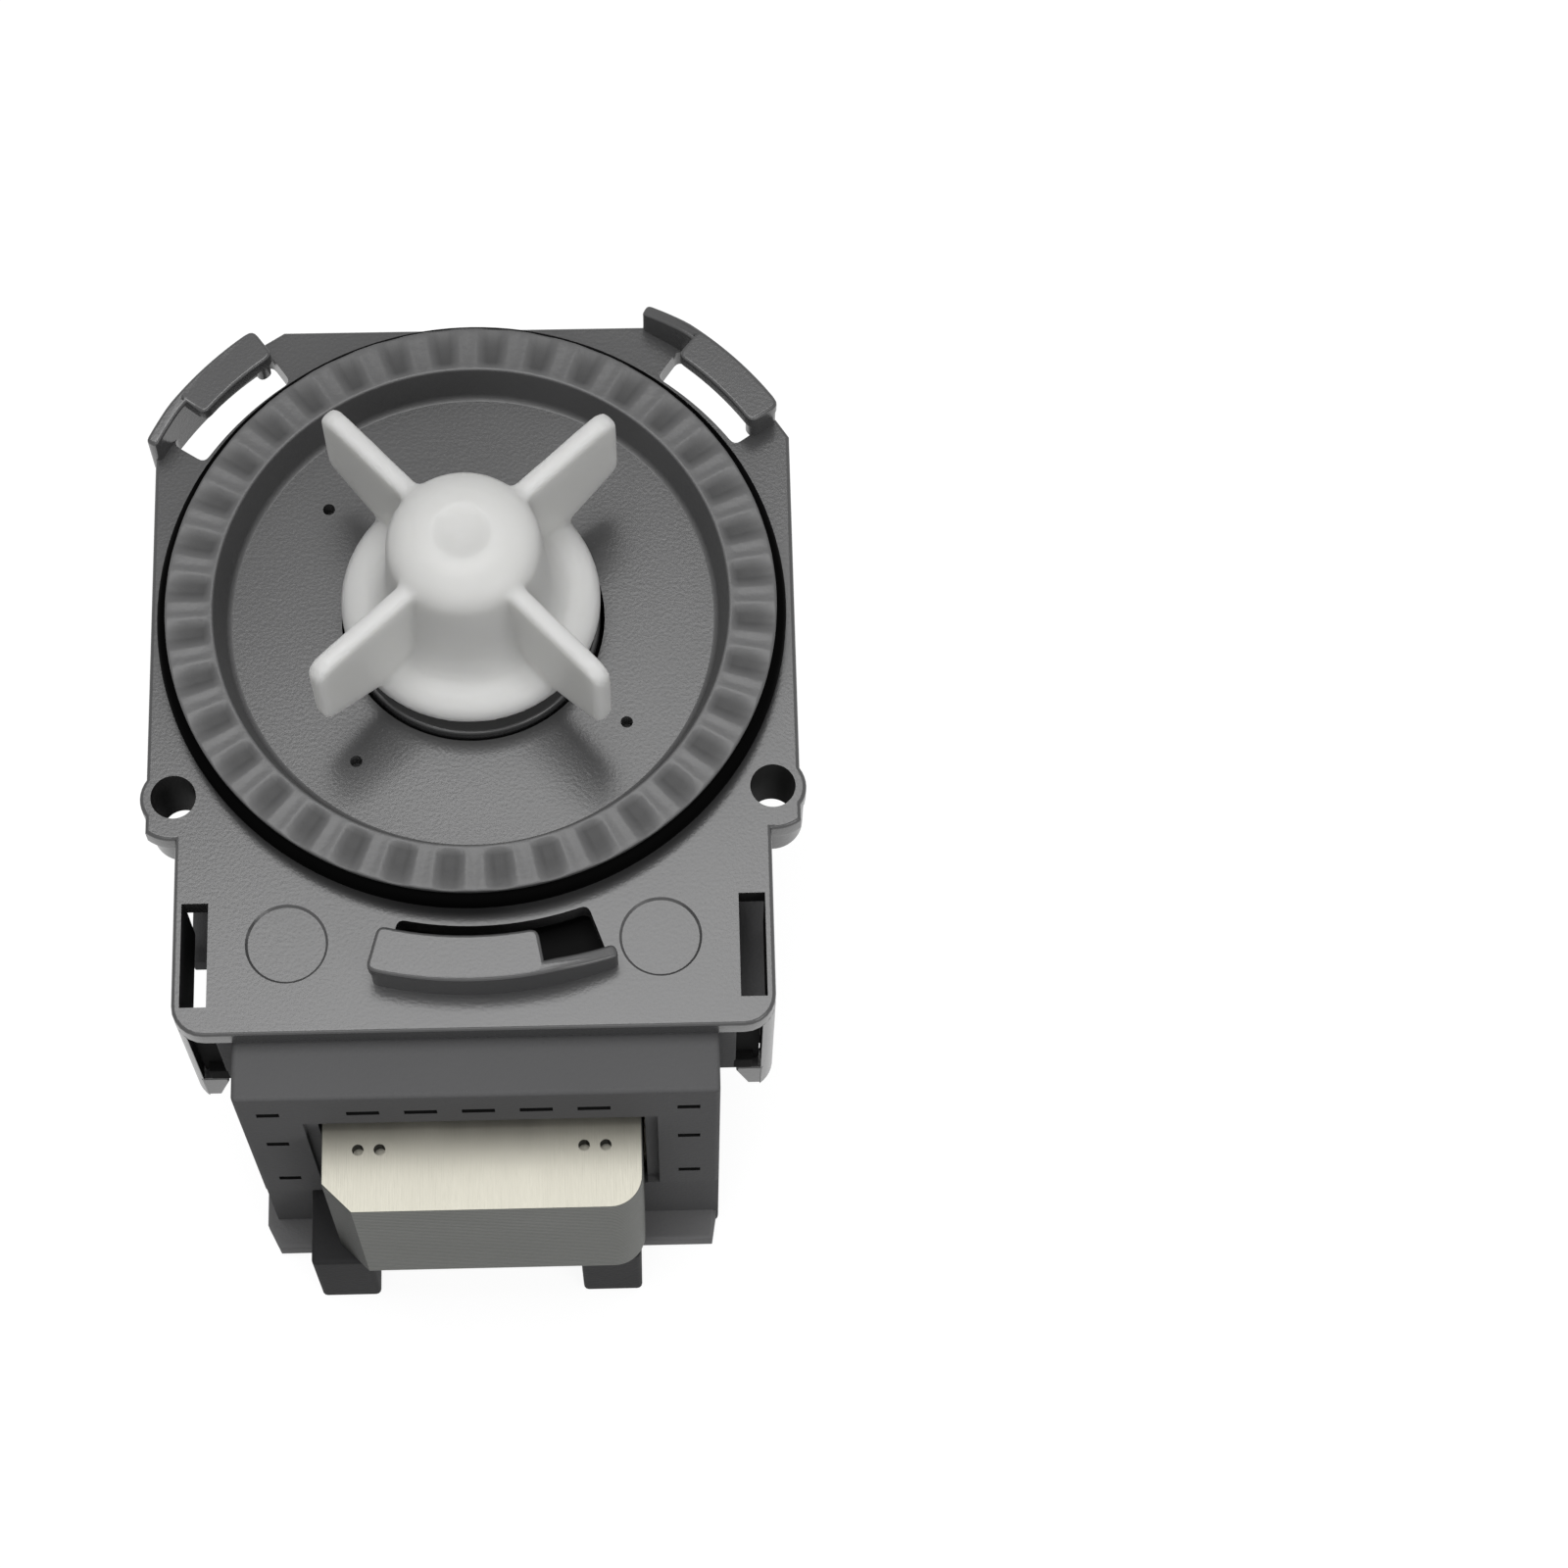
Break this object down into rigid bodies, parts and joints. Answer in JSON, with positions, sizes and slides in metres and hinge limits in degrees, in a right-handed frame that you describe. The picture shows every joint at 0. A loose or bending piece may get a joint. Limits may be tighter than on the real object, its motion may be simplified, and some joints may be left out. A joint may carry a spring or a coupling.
{
  "type": "drain pump",
  "caption": "Synchronous drain pump with a bayonet flange, an O-ring spigot, a bladed impeller on a wet rotor and a U core motor in a plastic housing.",
  "frame": {"origin": "on the rotor axis, in the sump side face of the flange plate", "axes": "+Z along the rotor axis from the plate towards the impeller, -Y towards the laminated yoke, +X to the right"},
  "size_m": [0.0732, 0.1005, 0.084],
  "materials": {
    "plate_plastic": "satin moulded grey",
    "housing_plastic": "matte moulded dark grey",
    "impeller_plastic": "smooth translucent white",
    "seal_rubber": "black rubber",
    "bush_carbon": "pressed carbon",
    "shaft_steel": "ground",
    "magnet_ferrite": "matte ferrite",
    "rotor_plastic": "moulded",
    "washer_plastic": "moulded",
    "dog_plastic": "moulded",
    "core_steel": "laminated, stamped edges",
    "bobbin_plastic": "glass filled",
    "winding_copper": "enamelled copper",
    "fuse_metal": "smooth",
    "terminal_brass": "tinned"
  },
  "bodies": {
    "stator": {"flange_plate": "plate_plastic", "o_ring": "seal_rubber", "front_bearing_carrier": "plate_plastic", "carrier_seal": "seal_rubber", "front_bush": "bush_carbon", "rear_bush": "bush_carbon", "rear_bush_damper": "seal_rubber", "stator_core": "core_steel", "bobbin_left": "bobbin_plastic", "bobbin_right": "bobbin_plastic", "coil_left": "winding_copper", "coil_right": "winding_copper", "coil_link_wire": "winding_copper", "thermal_fuse": "fuse_metal", "coil_housing": "housing_plastic", "terminal_left": "terminal_brass", "terminal_right": "terminal_brass"},
    "rotor": {"rotor_shaft": "shaft_steel", "rotor_magnet": "magnet_ferrite", "rotor_hub": "rotor_plastic", "front_thrust_washer": "washer_plastic", "rear_thrust_washer": "washer_plastic", "drive_dog": "dog_plastic"},
    "impeller": {"impeller": "impeller_plastic", "impeller_cover": "impeller_plastic", "dog_bumper": "seal_rubber"}
  },
  "joints": [
    {"name": "rotor_spin", "type": "hinge", "parent": "stator", "child": "rotor", "pos_m": [0, 0, 0], "axis": [0, 0, 1], "continuous": true},
    {"name": "impeller_lost_motion", "type": "hinge", "parent": "rotor", "child": "impeller", "pos_m": [0, 0, 0], "axis": [0, 0, 1], "range_deg": [-92, 92]}
  ]
}
